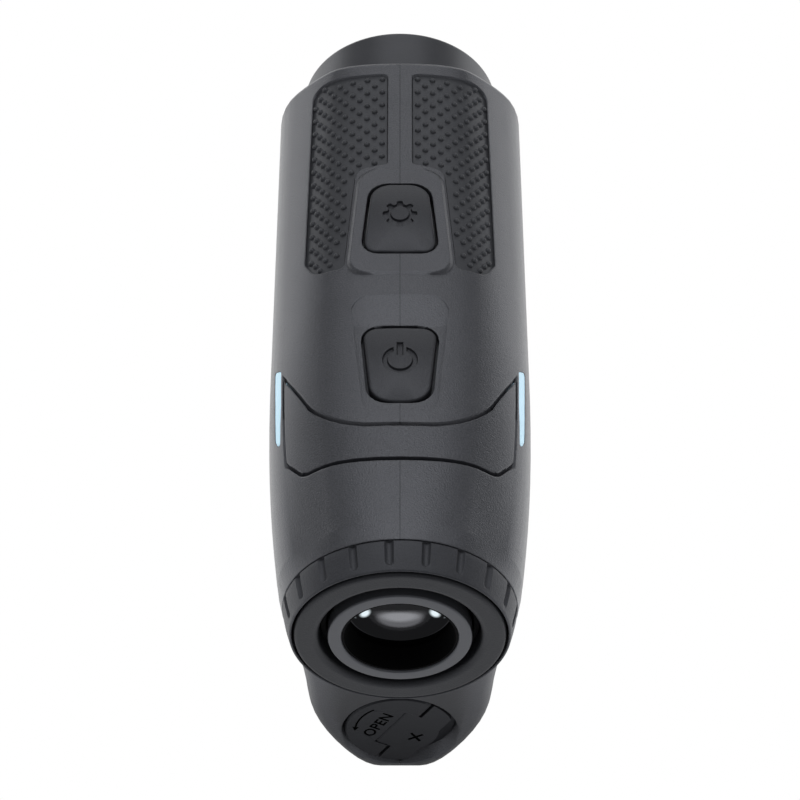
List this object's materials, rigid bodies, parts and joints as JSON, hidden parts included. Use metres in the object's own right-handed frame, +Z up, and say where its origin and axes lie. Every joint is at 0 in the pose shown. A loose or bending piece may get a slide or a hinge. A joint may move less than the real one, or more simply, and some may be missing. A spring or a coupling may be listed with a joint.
{
  "type": "laser rangefinder",
  "caption": "Handheld monocular laser rangefinder: moulded two-half housing, two top buttons, twist eyecup, dioptre ring, hooded objective and a quarter-turn battery door.",
  "frame": {"origin": "under the middle of the flat underside, midway between the eyecup's rear face and the objective hood's rim", "axes": "+Z up, +Y towards the target along the line of sight, +X to the user's right"},
  "size_m": [0.041, 0.1146, 0.0685],
  "materials": {
    "housing_polymer": "satin moulded, fine texture",
    "trim_polymer": "satin moulded",
    "accent": "satin light blue",
    "grip_rubber": "matte, nubbed",
    "button_polymer": "satin",
    "screw_steel": "blackened",
    "insert_brass": "machined",
    "hood_polymer": "matte",
    "black_optic": "matt black",
    "lens_glass": "coated",
    "prism_glass": "polished",
    "chassis": "black anodised",
    "ocular_metal": "satin grey",
    "cup_rubber": "soft matte",
    "circuit_board": "solder mask",
    "chip": "moulded",
    "tin": "plated",
    "flex_film": "polyimide",
    "cell_can": "sleeved cell",
    "seal_rubber": "smooth",
    "door_polymer": "satin moulded"
  },
  "bodies": {
    "housing": {"left_housing": "housing_polymer", "right_housing": "housing_polymer", "top_band": "trim_polymer", "left_accent": "accent", "right_accent": "accent", "left_grip_pad": "grip_rubber", "right_grip_pad": "grip_rubber", "housing_screws": "screw_steel", "tripod_insert": "insert_brass", "objective_hood": "hood_polymer", "objective_retainer": "black_optic", "objective_front_lens": "lens_glass", "objective_rear_lens": "lens_glass", "optical_chassis": "chassis", "erecting_prism": "prism_glass", "roof_prism": "prism_glass", "display_frame": "black_optic", "display_glass": "prism_glass", "emitter_bezel": "hood_polymer", "emitter_barrel": "black_optic", "emitter_lens": "lens_glass", "laser_diode": "tin", "diode_board": "circuit_board", "detector": "tin", "main_board": "circuit_board", "board_parts": "chip", "button_board": "circuit_board", "button_switches": "tin", "board_flex": "flex_film", "battery_tube": "chassis", "cell_spring": "tin"},
    "power_button": {"power_button": "button_polymer"},
    "mode_button": {"mode_button": "button_polymer"},
    "dioptre_ring": {"dioptre_ring": "cup_rubber"},
    "ocular": {"ocular_ring": "ocular_metal", "eyepiece_barrel": "black_optic", "eye_lens": "lens_glass", "lens_spacer": "black_optic", "field_lens": "lens_glass"},
    "eyecup_cam": {"eyecup_cam": "black_optic"},
    "eyecup": {"eyecup": "cup_rubber"},
    "battery": {"battery_cell": "cell_can"},
    "door_seal": {"door_seal": "seal_rubber"},
    "door": {"battery_door": "door_polymer", "door_contact": "tin", "tab_pin": "tin"},
    "door_tab": {"door_tab": "door_polymer"}
  },
  "joints": [
    {"name": "power_press", "type": "slide", "parent": "housing", "child": "power_button", "axis": [0, 0, -1], "range_m": [0, 0.0006], "stiffness_N_per_m": 900, "springref_m": -0.0006},
    {"name": "mode_press", "type": "slide", "parent": "housing", "child": "mode_button", "axis": [0, 0, -1], "range_m": [0, 0.0006], "stiffness_N_per_m": 900, "springref_m": -0.0006},
    {"name": "dioptre_turn", "type": "hinge", "parent": "housing", "child": "dioptre_ring", "pos_m": [0, -0.05325, 0.049], "axis": [0, 1, 0], "range_deg": [-60, 60]},
    {"name": "ocular_focus", "type": "slide", "parent": "housing", "child": "ocular", "axis": [0, 1, 0], "range_m": [-0.0008, 0.0008]},
    {"name": "eyecup_turn", "type": "hinge", "parent": "housing", "child": "eyecup_cam", "pos_m": [0, -0.04925, 0.049], "axis": [0, -1, 0], "range_deg": [0, 120]},
    {"name": "eyecup_lift", "type": "slide", "parent": "eyecup_cam", "child": "eyecup", "axis": [0, -1, 0], "range_m": [0, 0.005]},
    {"name": "door_pull", "type": "slide", "parent": "housing", "child": "door_seal", "axis": [0, -1, 0], "range_m": [0, 0.032]},
    {"name": "door_turn", "type": "hinge", "parent": "door_seal", "child": "door", "pos_m": [0, -0.04925, 0.012], "axis": [0, -1, 0], "range_deg": [0, 90]},
    {"name": "tab_flip", "type": "hinge", "parent": "door", "child": "door_tab", "pos_m": [-0.00103, -0.0483, 0.01261], "axis": [-0.512, 0, -0.859], "range_deg": [0, 90]},
    {"name": "battery_slide", "type": "slide", "parent": "housing", "child": "battery", "axis": [0, -1, 0], "range_m": [0, 0.032]}
  ],
  "couplings": [
    {"joint": "ocular_focus", "follows": "dioptre_turn", "m_per_rad": 0.0007639},
    {"joint": "eyecup_lift", "follows": "eyecup_turn", "m_per_rad": 0.0023873},
    {"joint": "battery_slide", "follows": "door_pull", "ratio": 1}
  ]
}
